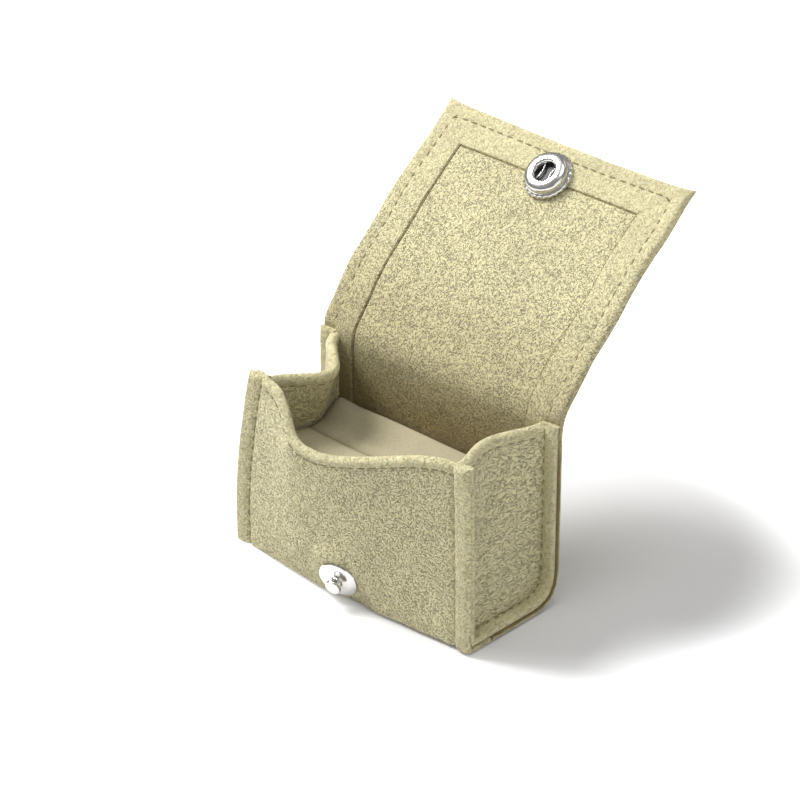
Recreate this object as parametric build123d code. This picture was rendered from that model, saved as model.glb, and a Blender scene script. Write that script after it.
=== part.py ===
from build123d import *
import math
import os

# Soft suede ring box, lid open. Millimetres, +Z up, front is -Y, origin under the middle of the base.

# ---- overall sizes ----
WIDTH = 60.0            # over the sewn edges
DEPTH = 25.5            # front face to back face
HEIGHT = 38.4           # rim of the body
FIN = 3.6               # sewn edge that stands out at each side
SUEDE = 1.0             # outer fabric
LINING = 0.7            # inner fabric
BOARD = 1.0             # stiffener in the base
BACK_ROUND = 6.0        # radius of the lower back edge
BOARD_FRONT = -9.0      # front edge of the stiffener and of the base lining

# ---- folds ----
BEAD_R = 0.8            # rolled fabric along each fold
FOLD_GAP = 1.5          # fold axis to the first stiff edge beyond it
FRONT_FOLD = (0.8 - DEPTH / 2, 0.8)         # (y, z) of the fold under the front panel
LID_FOLD = (DEPTH / 2 - 0.85, HEIGHT)       # (y, z) of the fold at the top of the back

# ---- front panel ----
LEAN_LEFT = 4.4         # how far the left front corner is drawn in at the rim
LEAN_RIGHT = 0.8
BULGE = 4.4             # how far the middle of the panel swells
FRONT_RIM = [(-31, 38.4), (-20.6, 38.4), (-17.5, 37.9), (-14.6, 36.6), (-12.3, 34.6), (-9.9, 32.3),
             (-7.9, 31.3), (-6.0, 31.0), (-2.4, 31.6), (3.6, 33.1), (9.2, 34.8), (14.4, 36.4),
             (20.0, 37.8), (25.0, 38.4), (31, 38.4)]

# ---- side gussets ----
BOW_LEFT, BOW_RIGHT = 8.2, 3.6      # how far each side is tucked in at the rim
DIP_LEFT, DIP_RIGHT = 0.4, 0.3      # how far each rim sinks at mid depth
BOW_START = 8.0                     # height at which the tuck begins

# ---- ring cushion ----
CUSHION_TOP = 24.3
SLIT_Y = -2.0
ROLL_ROUND = 3.2

# ---- wrap-over flap, measured along its length from the lid fold ----
FLAP_LENGTH = 49.6
LID_LENGTH = 11.5       # lid fold to the front flap's fold
FLAP_START = 52.5       # slope at the lid fold, degrees above +Y
FLAP_MIDDLE = 45.5      # slope at the front flap's fold
FLAP_END = 36.0         # slope at the tip
FLAP_HALF = 0.9         # half the flap's thickness at its hem
HEM = 8.0               # turned hem round the flap
FLAP_LINING = 0.55

# ---- snap fastener ----
SNAP_X = 0.2
SNAP_S = FLAP_LENGTH - 7.6      # socket's place along the flap
STUD_Z = 5.2
DISC_R, DISC_T = 4.6, 0.5
HEAD_R, HEAD_NECK_R, HEAD_OUT = 1.85, 1.45, 2.0
SOCKET_R, SOCKET_RING_R, SOCKET_BORE_R = 5.1, 4.4, 2.2
SOCKET_FLANGE, SOCKET_H, SOCKET_FLOOR = 0.6, 2.2, 0.3
CAP_R, CAP_T = 5.4, 0.7
POST_R = 1.3
SPRING_WIRE = 0.3

FRONT_Y, BACK_Y = -DEPTH / 2, DEPTH / 2
ROOT = WIDTH / 2 - FIN
TOP = HEIGHT + 0.2      # top of the untrimmed walls
LEVELS = (1.85, 4.0, 7.0, 13.0, 21.0, 30.0, TOP)
LINING_LEVELS = (2.2, 4.0, 7.0, 13.0, 21.0, 30.0, TOP)
SIDE_LEVELS = (BOW_START, 14.0, 21.0, 30.0, TOP)


def box(x0, x1, y0, y1, z0, z1):
    return Pos((x0 + x1) / 2, (y0 + y1) / 2, (z0 + z1) / 2) * Box(x1 - x0, y1 - y0, z1 - z0)


def along_x(face, x0, x1):
    return Pos(x0, 0, 0) * extrude(face, x1 - x0, dir=(1, 0, 0))


def rod_x(y, z, r, x0, x1):
    return Pos((x0 + x1) / 2, y, z) * Rot(0, 90, 0) * Cylinder(r, x1 - x0)


# ---- the soft walls ----
def lean(z, amount):
    return amount * (max(z - BOW_START, 0) / (HEIGHT - BOW_START)) ** 1.6


def left_edge(z):
    return -WIDTH / 2 + lean(z, LEAN_LEFT)


def right_edge(z):
    return WIDTH / 2 - lean(z, LEAN_RIGHT)


def swell(u, z):
    rise = 1 - math.exp(-((z - 1.0) / 3.2) ** 1.2)
    across = math.sin(math.pi * u ** 0.85) ** 1.5 if 0 < u < 1 else 0
    return BULGE * across * rise * (0.78 + 0.22 * min(z / 30, 1))


def front_section(z):
    """Level cut through the front panel's outer fabric, with its sewn edges."""
    x0, x1 = left_edge(z), right_edge(z)
    r0, r1 = x0 + FIN, x1 - FIN
    us = [i / 14 for i in range(15)]
    outer = [(r0 + (r1 - r0) * u, FRONT_Y - swell(u, z), z) for u in us]
    inner = [(x, y + SUEDE, z) for x, y, _ in outer]
    y0, y1 = FRONT_Y, FRONT_Y + SUEDE
    a, b = (1, 0, 0), (-1, 0, 0)
    edges = [
        Line((x0, y0, z), outer[0]), Spline(*outer, tangents=(a, a)), Line(outer[-1], (x1, y0, z)),
        Line((x1, y0, z), (x1, y1, z)), Line((x1, y1, z), inner[-1]),
        Spline(*inner[::-1], tangents=(b, b)), Line(inner[0], (x0, y1, z)), Line((x0, y1, z), (x0, y0, z)),
    ]
    return make_face(Wire(edges))


def lining_section(z):
    """Level cut through the front panel's inner fabric, which ends at the side panels."""
    r0, r1 = left_edge(z) + FIN, right_edge(z) - FIN
    a, b = r0 + 0.56, r1 - 0.56
    xs = [a + (b - a) * i / 14 for i in range(15)]
    near = [(x, FRONT_Y + SUEDE + 0.25 - swell((x - r0) / (r1 - r0), z), z) for x in xs]
    far = [(x, y + LINING - 0.25, z) for x, y, _ in near]
    return make_face(Wire([Spline(*near), Line(near[-1], far[-1]), Spline(*far[::-1]), Line(far[0], near[0])]))


def above_rim(points, plane_at, reach):
    """Solid over a rim curve, for trimming a wall's top edge."""
    curve = Spline(*[plane_at(a, z) for a, z in points])
    (a0, z0), (a1, z1) = points[0], points[-1]
    top = Polyline(plane_at(a1, z1), plane_at(a1, 60), plane_at(a0, 60), plane_at(a0, z0))
    face = make_face([curve, top])
    return extrude(face, reach, both=True)


def bow(y, z, amount):
    half = DEPTH / 2 - SUEDE - LINING
    if abs(y) >= half:
        return 0
    return amount * math.cos(math.pi * y / 2 / half) ** 2 * (max(z - BOW_START, 0) / (HEIGHT - BOW_START)) ** 1.4


def gusset_section(side, z, amount, edge, t_out, t_in):
    """Level cut through one side panel; side is -1 for the left. t_out and t_in are measured from its middle."""
    reach = DEPTH / 2 - SUEDE
    half = reach - LINING
    front_root = edge(z) - side * FIN
    ys = [-reach + 2 * reach * i / 12 for i in range(13)]

    def wall(y, off):
        k = min(max((y + half) / (2 * half), 0), 1)
        root = front_root * (1 - k) + side * ROOT * k
        return (root - side * (bow(y, z, amount) + off), y, z)

    inner = [wall(y, t_in) for y in ys]
    outer = [wall(y, -t_out) for y in ys]
    edges = [Spline(*inner), Line(inner[-1], outer[-1]), Spline(*outer[::-1]), Line(outer[0], inner[0])]
    return make_face(Wire(edges))


def gusset_wall(side, amount, edge, t_out, t_in):
    """One side panel from the base up: flat behind the seam, tucked in above it."""
    x0, x1 = sorted((side * (ROOT - t_in), side * (ROOT + t_out)))
    flat = box(x0, x1, FRONT_Y + SUEDE, BACK_Y - SUEDE, 0, BOW_START)
    return flat + loft([gusset_section(side, z, amount, edge, t_out, t_in) for z in SIDE_LEVELS])


def level_box(x0, x1, y0, y1, z):
    return make_face(Polyline((x0, y0, z), (x1, y0, z), (x1, y1, z), (x0, y1, z), close=True))


def inside_base(grow):
    """Space inside the outer fabric, in the YZ plane, shrunk by grow at the base and back."""
    return hollow(BACK_Y - SUEDE - grow, SUEDE + grow, BACK_ROUND - SUEDE - grow)


def hollow(y1, z0, r):
    c = math.sqrt(0.5)
    arc = ThreePointArc((0, y1 - r, z0), (0, y1 - r + r * c, z0 + r - r * c), (0, y1, z0 + r))
    rest = Polyline((0, y1, z0 + r), (0, y1, 60), (0, FRONT_Y + SUEDE, 60), (0, FRONT_Y + SUEDE, z0),
                    (0, y1 - r, z0))
    return make_face([arc, rest])


def gusset(side, amount, edge, dip):
    solid = gusset_wall(side, amount, edge, 0.5, 0.5) & along_x(inside_base(0), -40, 40)
    y = FRONT_Y + SUEDE
    fins = [level_box(*sorted((edge(z), edge(z) - side * (FIN - 0.4))), y, y + SUEDE, z) for z in SIDE_LEVELS]
    f0, f1 = sorted((side * (ROOT + 0.5), side * WIDTH / 2))
    ring = along_x(inside_base(0), f0, f1) - along_x(inside_base(SUEDE), f0 - 1, f1 + 1)
    solid += loft(fins) + box(f0, f1, y, y + SUEDE, 1.8, BOW_START)
    solid += ring & box(-40, 40, 0, 20, 0, HEIGHT)
    solid += ring & box(-40, 40, -20, 1, 0, SUEDE + 1.5)
    rim = [(y, HEIGHT - 0.8 - dip * math.cos(math.pi * y / 2 / (BACK_Y - SUEDE)) ** 2)
           if abs(y) < BACK_Y - SUEDE else (y, HEIGHT - 0.8) for y in [-14 + 2 * i for i in range(15)]]
    solid -= above_rim(rim, lambda a, z: (0, a, z), 60)
    return solid - rod_x(*FRONT_FOLD, BEAD_R, -40, 40)


def gusset_lining(side, amount, edge, dip, shell):
    half = DEPTH / 2 - SUEDE - LINING
    solid = gusset_wall(side, amount, edge, 0.5, 0.5 + LINING) & box(-40, 40, -half, half, 0, 60)
    solid &= along_x(lining_space(), -40, 40)
    rim = [(y, HEIGHT - 1.2 - dip * math.cos(math.pi * y / 2 / half) ** 2) for y in
           [-half - 1 + (2 * half + 2) * i / 12 for i in range(13)]]
    solid -= above_rim(rim, lambda a, z: (0, a, z), 60)
    outside = box(side * ROOT if side > 0 else -60, 60 if side > 0 else side * ROOT, -20, 20, -1, 60)
    return solid - shell - outside


# ---- body ----
def base_cover():
    y, z = FRONT_FOLD
    outer = inside_base(-SUEDE)
    solid = along_x(outer, -WIDTH / 2, WIDTH / 2) - along_x(inside_base(0), -40, 40)
    solid &= box(-40, 40, y, BACK_Y + 1, -1, LID_FOLD[1])
    solid += rod_x(y, z, BEAD_R, -WIDTH / 2, WIDTH / 2)
    return solid + rod_x(*LID_FOLD, BEAD_R, -WIDTH / 2, WIDTH / 2)


def bottom_board():
    return box(-ROOT + 0.5, ROOT - 0.5, BOARD_FRONT, BACK_Y - BACK_ROUND, SUEDE, SUEDE + BOARD)


def lining_space():
    """Space inside the base's lining, in the YZ plane."""
    return hollow(BACK_Y - SUEDE - LINING, SUEDE + BOARD + LINING, BACK_ROUND - SUEDE - LINING)


def base_lining():
    x = ROOT - 0.51
    outer = along_x(hollow(BACK_Y - SUEDE, SUEDE + BOARD, BACK_ROUND - SUEDE), -x, x)
    solid = outer - along_x(lining_space(), -40, 40)
    return solid & box(-40, 40, BOARD_FRONT, 20, 0, HEIGHT - 1.6)


def cushion_roll(y0, y1, ends, round_front, round_back):
    z0, z1 = SUEDE + BOARD + LINING, CUSHION_TOP
    solid = box(-ROOT + 0.5, ROOT - 0.5, y0, y1, z0, z1)
    tops = solid.edges().filter_by(Axis.X).group_by(Axis.Z)[-1].sort_by(Axis.Y)
    solid = fillet(tops[0], round_front)
    tops = solid.edges().filter_by(Axis.X).group_by(Axis.Z)[-1].sort_by(Axis.Y)
    solid = fillet(tops[-1], round_back)
    solid &= along_x(lining_space(), -40, 40)
    for end in ends:
        solid -= end
    return solid


# ---- front panel ----
def stud():
    y = FRONT_Y - swell((SNAP_X + ROOT) / (2 * ROOT), STUD_Z) - 0.1
    turn = Rot(90, 0, 0)        # +Z of the turned part points to the front
    at = Pos(SNAP_X, y, STUD_Z) * turn
    disc = Cylinder(DISC_R, DISC_T, align=(Align.CENTER, Align.CENTER, Align.MIN))
    disc = fillet(disc.edges().filter_by(GeomType.CIRCLE).sort_by(Axis.Z)[-1], 0.2)
    post = Pos(0, 0, -2.4) * Cylinder(POST_R, 2.6, align=(Align.CENTER, Align.CENTER, Align.MIN))
    neck = Cylinder(HEAD_NECK_R, DISC_T + HEAD_OUT - 0.7, align=(Align.CENTER, Align.CENTER, Align.MIN))
    head = Pos(0, 0, DISC_T + HEAD_OUT - 1.1) * Cylinder(HEAD_R, 1.1, align=(Align.CENTER, Align.CENTER, Align.MIN))
    head = fillet(head.edges().filter_by(GeomType.CIRCLE), 0.35)
    seat = at * Cylinder(DISC_R, 3, align=(Align.CENTER, Align.CENTER, Align.MIN))
    return at * (disc + post + neck + head), seat, y


def stud_washer(y):
    inner = y + 0.1 + SUEDE + LINING
    ring = Cylinder(2.8, 0.6) - Cylinder(POST_R, 2)
    return Pos(SNAP_X, inner + 0.3, STUD_Z) * Rot(90, 0, 0) * ring


# ---- flap ----
def flap_slope(s):
    """Slope in degrees above +Y at length s from the lid fold."""
    if s <= LID_LENGTH:
        return FLAP_START - (FLAP_START - FLAP_MIDDLE) * s / LID_LENGTH
    return FLAP_MIDDLE - (FLAP_MIDDLE - FLAP_END) * (s - LID_LENGTH) / (FLAP_LENGTH - LID_LENGTH)


def flap_at(s, n):
    """(y, z) at length s along the flap and n towards its lining side."""
    y, z = LID_FOLD
    for start, end in ((0, min(s, LID_LENGTH)), (LID_LENGTH, s)):
        if end > start:
            t0, t1 = math.radians(flap_slope(start)), math.radians(flap_slope(end))
            radius = (end - start) / (t0 - t1)
            y += radius * (math.sin(t0) - math.sin(t1))
            z += radius * (math.cos(t1) - math.cos(t0))
    t = math.radians(flap_slope(s))
    return y - n * math.sin(t), z + n * math.cos(t)


def layer(s0, s1, n0, n1, x0, x1):
    """One curved layer of the flap between two lengths, two depths and two sides."""
    def at(s, n):
        y, z = flap_at(s, n)
        return (0, y, z)
    m = (s0 + s1) / 2
    edges = [
        ThreePointArc(at(s0, n0), at(m, n0), at(s1, n0)), Line(at(s1, n0), at(s1, n1)),
        ThreePointArc(at(s1, n1), at(m, n1), at(s0, n1)), Line(at(s0, n1), at(s0, n0)),
    ]
    return along_x(make_face(Wire(edges)), x0, x1)


def lid_parts():
    w, h = WIDTH / 2, FLAP_HALF
    skin = -h + SUEDE
    cover = layer(FOLD_GAP, LID_LENGTH, -h, skin, -w, w)
    cover += layer(FOLD_GAP, LID_LENGTH, skin, h, -w, -w + HEM)
    cover += layer(FOLD_GAP, LID_LENGTH, skin, h, w - HEM, w)
    y, z = flap_at(LID_LENGTH, 0)
    bead = rod_x(y, z, h, -w, w)
    lining = layer(FOLD_GAP, LID_LENGTH - 0.2, skin, skin + FLAP_LINING, -w + HEM, w - HEM) - bead
    return cover + bead, lining


def flap_parts():
    w, h = WIDTH / 2, FLAP_HALF
    s0 = LID_LENGTH + FOLD_GAP
    skin = -h + SUEDE
    cover = layer(s0, FLAP_LENGTH, -h, skin, -w, w)
    cover += layer(s0, FLAP_LENGTH, skin, h, -w, -w + HEM)
    cover += layer(s0, FLAP_LENGTH, skin, h, w - HEM, w)
    cover += layer(FLAP_LENGTH - HEM, FLAP_LENGTH, skin, h, -w, w)
    lining = layer(s0, FLAP_LENGTH - HEM, skin, skin + FLAP_LINING, -w + HEM, w - HEM)
    return cover, lining


def snap_place(n):
    y, z = flap_at(SNAP_S, n)
    return Pos(SNAP_X, y, z) * Rot(flap_slope(SNAP_S), 0, 0)


def snap_parts():
    low = (Align.CENTER, Align.CENTER, Align.MIN)
    face = snap_place(FLAP_HALF)
    flange = Cylinder(SOCKET_R, SOCKET_FLANGE, align=low)
    flange = fillet(flange.edges().filter_by(GeomType.CIRCLE).sort_by(Axis.Z)[-1], 0.25)
    ring = Cylinder(SOCKET_RING_R, SOCKET_H, align=low)
    ring = fillet(ring.edges().filter_by(GeomType.CIRCLE).sort_by(Axis.Z)[-1], 0.6)
    bore = Pos(0, 0, SOCKET_FLOOR) * Cylinder(SOCKET_BORE_R, 5, align=low)
    dish = Pos(0, 0, SOCKET_H - 0.35) * Cone(SOCKET_BORE_R, 3.2, 0.7, align=low)
    under = Cylinder(3.8, 1.6, align=low) - Cylinder(2.8, 2, align=low)
    socket = face * (flange + ring - bore - dish - under)
    wire = Cylinder(SOCKET_BORE_R, 0.4, align=low) - Cylinder(SOCKET_BORE_R - SPRING_WIRE, 1)
    spring = face * Pos(0, 0, 0.9) * wire
    back = snap_place(-FLAP_HALF)
    cap = Pos(0, 0, -CAP_T) * Cylinder(CAP_R, CAP_T, align=low)
    cap = fillet(cap.edges().filter_by(GeomType.CIRCLE).sort_by(Axis.Z)[0], 0.5)
    post = Cylinder(POST_R, 2 * FLAP_HALF, align=low)
    return socket, spring, back * (cap + post)


def build():
    parts = {}
    parts["base_cover"] = base_cover()
    parts["bottom_board"] = bottom_board()
    parts["base_lining"] = base_lining()
    sides = (("left", -1, BOW_LEFT, left_edge, DIP_LEFT), ("right", 1, BOW_RIGHT, right_edge, DIP_RIGHT))
    ends = []
    for name, side, amount, edge, dip in sides:
        shell = gusset(side, amount, edge, dip)
        parts[name + "_gusset"] = shell
        parts[name + "_gusset_lining"] = gusset_lining(side, amount, edge, dip, shell)
        ends.append(gusset_wall(side, amount, edge, 14.0, 0.5 + LINING))
    y0, y1 = FRONT_Y + SUEDE + LINING + 0.1, BACK_Y - SUEDE - LINING
    parts["cushion_front_roll"] = cushion_roll(y0, SLIT_Y, ends, 4.0, ROLL_ROUND)
    parts["cushion_back_roll"] = cushion_roll(SLIT_Y, y1, ends, ROLL_ROUND, 2.0)

    rim = above_rim(FRONT_RIM, lambda a, z: (a, FRONT_Y, z), 30)
    cover = loft([front_section(z) for z in LEVELS])
    skin = loft([lining_section(z) for z in LINING_LEVELS])
    stud_solid, seat, y = stud()
    post = Pos(SNAP_X, 0, STUD_Z) * Rot(90, 0, 0) * Cylinder(POST_R, 60)
    washer = stud_washer(y)
    parts["front_cover"] = cover - rim - seat - post - washer
    parts["front_lining"] = skin - (Pos(0, 0, -0.6) * rim) - post - washer
    parts["snap_stud"] = stud_solid
    parts["stud_washer"] = washer

    parts["lid_cover"], parts["lid_lining"] = lid_parts()
    flap_cover, flap_lining = flap_parts()
    socket, spring, cap = snap_parts()
    parts["flap_cover"], parts["flap_lining"] = flap_cover - cap, flap_lining - cap
    parts["snap_socket"], parts["snap_spring"], parts["snap_cap"] = socket, spring, cap
    return parts


if __name__ == "__main__":
    os.makedirs("parts", exist_ok=True)
    for node, solid in build().items():
        export_step(solid, f"parts/{node}.step")
        print(node, len(solid.solids()), round(solid.volume, 2))
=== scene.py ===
# %% [markdown]
# # A soft suede ring box
# A long strip of suede makes the bottom, the back and the lid of this box in one run. A short strip
# makes the front, and two side panels are sewn between them. A foam cushion with a slot lies inside,
# and a snap holds the lid. The first cell loads the frame, the plain model whose places we dress.

# %% Load the frame
import math
import bpy
import numpy as np
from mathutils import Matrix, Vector


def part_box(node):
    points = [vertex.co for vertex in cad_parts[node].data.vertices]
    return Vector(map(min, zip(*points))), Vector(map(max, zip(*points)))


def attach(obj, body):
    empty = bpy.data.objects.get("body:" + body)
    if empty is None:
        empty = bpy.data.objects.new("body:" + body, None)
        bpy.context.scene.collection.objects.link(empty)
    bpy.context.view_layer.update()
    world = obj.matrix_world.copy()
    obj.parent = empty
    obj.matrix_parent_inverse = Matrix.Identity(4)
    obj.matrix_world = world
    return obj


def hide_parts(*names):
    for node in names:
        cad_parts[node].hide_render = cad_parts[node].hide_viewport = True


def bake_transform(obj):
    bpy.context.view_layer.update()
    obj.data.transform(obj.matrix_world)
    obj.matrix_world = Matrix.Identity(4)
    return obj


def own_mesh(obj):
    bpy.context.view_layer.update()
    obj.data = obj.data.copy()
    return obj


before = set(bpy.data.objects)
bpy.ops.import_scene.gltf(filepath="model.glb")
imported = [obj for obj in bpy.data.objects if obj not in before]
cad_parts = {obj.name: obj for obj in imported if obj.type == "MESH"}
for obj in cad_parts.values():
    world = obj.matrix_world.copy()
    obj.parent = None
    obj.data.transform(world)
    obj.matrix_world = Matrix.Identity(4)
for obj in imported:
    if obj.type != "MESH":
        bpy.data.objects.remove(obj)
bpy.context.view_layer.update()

MM = 0.001

# %% [markdown]
# ## Driving sizes
# Lengths are millimetres, unless a comment says metres. The soft forms are worked out from these few
# numbers, so the box stays one family of shapes: change the depth and every seam moves with it.

# %% Sizes
WIDTH, DEPTH, HEIGHT = 60.0, 25.5, 38.4
SEAM = 3.6                       # sewn edge that stands out at each side
HALF = 0.85                      # half of the two layers of fabric
ROOT = WIDTH / 2 - SEAM          # where a sewn edge leaves the box
BACK_ROUND = 6.0                 # radius of the lower back edge
LEAN_LEFT, LEAN_RIGHT = 4.4, 0.8    # how far the front's sewn edges lean inwards at the rim
BULGE = 4.4                      # how far the filled front swells outwards
BOW_START = 8.0                  # height where the sides begin to give way
SIDE_BOW = {-1: 8.2, 1: 3.6}     # how far the left and the right side are tucked in at the rim
SIDE_DIP = {-1: 0.4, 1: 0.3}     # how far their rims sag
LID_FOLD = (DEPTH / 2 - HALF, HEIGHT)
FRONT_FOLD = (0.8 - DEPTH / 2, 0.8)
FLAP_LENGTH, LID_LENGTH = 49.6, 11.5    # from the lid fold to the tip, and to the second fold
SLOPES = (52.5, 45.5, 36.0)      # degrees, at the lid fold, at the second fold and at the tip
FLAP_HALF = 0.9                  # half of the strip's thickness
HEM = 8.0                        # width of the lid's turned hem
HEM_SEAM, HEM_INNER = 2.2, 3.2   # from a rim to its stitches, and to the inner edge of its hem
HEM_FADE = (1.9, 2.5)            # from a rim, where the pressed nap ends
LID_SEAM = 3.0                   # from the lid's edge to its stitches
STITCH = 2.3                     # length of one stitch with its gap
SNAP_X, SNAP_S, STUD_Z = 0.2, FLAP_LENGTH - 7.6, 5.2    # sideways, along the lid, and up the front
FRONT_RIM = np.array([
    (-31, 38.4), (-22.4, 38.4), (-20.6, 38.2), (-19.0, 37.4), (-16.5, 35.9), (-14.2, 33.9),
    (-11.8, 31.9), (-9.2, 30.9), (-6.4, 30.8), (-2.4, 31.5), (3.6, 33.1), (9.2, 34.8),
    (14.4, 36.4), (20.0, 37.8), (25.0, 38.4), (31, 38.4)])
EDGE_STEPS = (0.0, 0.05, 0.17, 0.36, 0.62, 0.95, 1.35)    # grid lines close to a folded edge
FLOOR_GAP = 0.02                 # cloth stays this far above the floor

# %% [markdown]
# ## Small curves used everywhere
# `ease` is a soft step from 0 to 1. `rim_height` draws the front hem: straight runs between its points
# would show as corners, so the points are joined by a smooth curve that never overshoots them.

# %% Curves
def ease(x, a, b):
    """A soft step from 0 at a to 1 at b."""
    t = np.clip((x - a) / (b - a), 0, 1)
    return t * t * (3 - 2 * t)


def smooth_line(points, x):
    """Height of a smooth curve through the points."""
    px, pz = points[:, 0], points[:, 1]
    slope = np.diff(pz) / np.diff(px)
    m = np.zeros(len(px))
    inner = slope[:-1] * slope[1:] > 0
    m[1:-1][inner] = 2 * (slope[:-1] * slope[1:])[inner] / (slope[:-1] + slope[1:])[inner]
    i = np.clip(np.searchsorted(px, x) - 1, 0, len(px) - 2)
    h = px[i + 1] - px[i]
    t = (x - px[i]) / h
    return ((2 * t**3 - 3 * t**2 + 1) * pz[i] + (t**3 - 2 * t**2 + t) * h * m[i]
            + (3 * t**2 - 2 * t**3) * pz[i + 1] + (t**3 - t**2) * h * m[i + 1])


def rim_height(x):
    """Height of the front hem at a place across the box."""
    return smooth_line(FRONT_RIM, np.clip(x, FRONT_RIM[0, 0], FRONT_RIM[-1, 0]))


def lean(z, amount):
    """How far something leans at a height, when it leans by the amount at the rim."""
    return amount * (np.clip(z - BOW_START, 0, None) / (HEIGHT - BOW_START)) ** 1.6


def wave(a, b, scale, seed):
    """A slow irregular ripple between -1 and 1, the same on every run."""
    return (np.sin(a / scale + seed) * np.sin(b / (scale * 1.31) + 2.1 * seed)
            + 0.6 * np.sin((a + b) / (scale * 0.73) + 4.7 * seed)
            + 0.4 * np.sin((a - 1.4 * b) / (scale * 0.51) + 7.3 * seed)) / 2

# %% [markdown]
# ## From a flat grid to a piece of cloth
# Every fabric piece starts as a grid. Solidify gives it a second face and a rim, which keeps the
# topology clean and closed, and then both faces are laid along a middle surface. Working with a middle
# surface and two distances is easy to steer: a hem, a groove or a round edge only changes the distances.

# %% Cloth helper
def deselect():
    if bpy.context.object and bpy.context.object.mode != "OBJECT":
        bpy.ops.object.mode_set(mode="OBJECT")
    bpy.ops.object.select_all(action="DESELECT")


def edit_mesh(step, **settings):
    """Runs one operator of edit mode on the whole active mesh."""
    bpy.ops.object.mode_set(mode="EDIT")
    bpy.ops.mesh.select_all(action="SELECT")
    step(**settings)
    bpy.ops.object.mode_set(mode="OBJECT")


def read_points(obj):
    co = np.empty(len(obj.data.vertices) * 3)
    obj.data.vertices.foreach_get("co", co)
    return co.reshape(-1, 3)


def write_points(obj, co):
    obj.data.vertices.foreach_set("co", np.asarray(co, float).ravel())
    obj.data.update()


def smooth(obj, angle=50):
    """Shades a mesh smooth, and keeps edges sharper than the angle."""
    deselect()
    obj.select_set(True)
    bpy.context.view_layer.objects.active = obj
    bpy.ops.object.shade_smooth_by_angle(angle=math.radians(angle))
    obj.select_set(False)


def ruler(*marks, step=0.42):
    """Places along one side of a cloth: every mark is kept, about one step apart in between."""
    out = [marks[0]]
    for a, b in zip(marks, marks[1:]):
        n = max(1, round(abs(b - a) / step))
        out += [a + (b - a) * i / n for i in range(1, n + 1)]
    return np.array(out)


def with_edges(a, b, *between, first=True):
    """Marks from a up to b, close together at b, and at a too unless first is False."""
    low = [a + d for d in EDGE_STEPS] if first else [a]
    return [*low, *between, *(b - d for d in EDGE_STEPS[::-1])]


def round_edge(distance, radius=0.9):
    """Share of the thickness that is left at a distance from a folded edge."""
    t = np.clip(distance / radius, 0, 1)
    return np.clip(np.sqrt(1 - (1 - t) ** 2), 0.16, 1)


def normals_of(middle, a, b, d=0.03):
    """Normals of a middle surface, from points a small distance d apart."""
    n = np.cross(middle(a + d, b) - middle(a - d, b), middle(a, b + d) - middle(a, b - d))
    return n / np.linalg.norm(n, axis=1)[:, None]


def cloth(name, across, along, middle, faces, pressed, painted_shade=None, far_pressed=1.0):
    """A closed sheet over the grid of places across and along. middle(a, b) gives its middle surface and
    faces(a, b) the distances of its near and far face from it. pressed(a, b) tells where the nap is
    pressed flat, as in the hems, and far_pressed how much of that the far face gets. The optional shade
    function tells where shade is painted on the near face, deep inside the box, as a darker colour."""
    deselect()
    nx, ny = len(across) - 1, len(along) - 1
    bpy.ops.mesh.primitive_grid_add(x_subdivisions=nx, y_subdivisions=ny, size=1)
    obj = bpy.context.object
    obj.name = obj.data.name = name
    layer = obj.modifiers.new("layer", "SOLIDIFY")
    layer.thickness = 0.01       # only until both faces are placed below
    bpy.ops.object.modifier_apply(modifier="layer")
    co = read_points(obj)
    half = len(co) // 2
    a = across[np.rint((co[:half, 0] + 0.5) * nx).astype(int)]
    b = along[np.rint((co[:half, 1] + 0.5) * ny).astype(int)]
    centre, normal = middle(a, b), normals_of(middle, a, b)
    near, far = faces(a, b)
    co[:half] = centre + normal * near[:, None]
    co[half:] = centre - normal * far[:, None]
    co[:, 2] = np.maximum(co[:, 2], FLOOR_GAP)
    write_points(obj, co * MM)
    flat = obj.data.attributes.new("pressed", "FLOAT", "POINT")
    flat.data.foreach_set("value", np.concatenate([pressed(a, b), pressed(a, b) * far_pressed]))
    if painted_shade:
        # painted shade goes on the near face only; the far face gets none
        down = obj.data.attributes.new("painted_shade", "FLOAT", "POINT")
        down.data.foreach_set("value", np.concatenate([painted_shade(a, b), 0 * a]))
    smooth(obj)
    print(name, len(obj.data.polygons), "faces")
    return obj

# %% [markdown]
# ## Stitches
# A stitch is a short thread that dips into the cloth at both ends. One is modelled from a sphere, and a
# seam is a row of copies, each turned along its seam and sunk so that only its back shows.

# %% Stitch helper
THREAD_LONG, THREAD_WIDE, THREAD_HIGH, THREAD_DIP = 0.78, 0.19, 0.17, 0.10
UNEVEN = 0.12                    # how far a stitch strays, in stitches and in radians
PUCKER_WIDE = 0.5


def stitch_seed():
    """Points and faces of one stitch that lies along x."""
    deselect()
    bpy.ops.mesh.primitive_uv_sphere_add(segments=8, ring_count=6, radius=1)
    seed = bpy.context.object
    co = read_points(seed)
    co = np.column_stack([co[:, 2] * THREAD_LONG, co[:, 0] * THREAD_WIDE,
                          co[:, 1] * THREAD_HIGH - THREAD_DIP * np.abs(co[:, 2]) ** 3])
    polygons = [tuple(p.vertices) for p in seed.data.polygons]
    bpy.data.objects.remove(seed)
    return co, polygons


SEED, SEED_FACES = stitch_seed()


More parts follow.
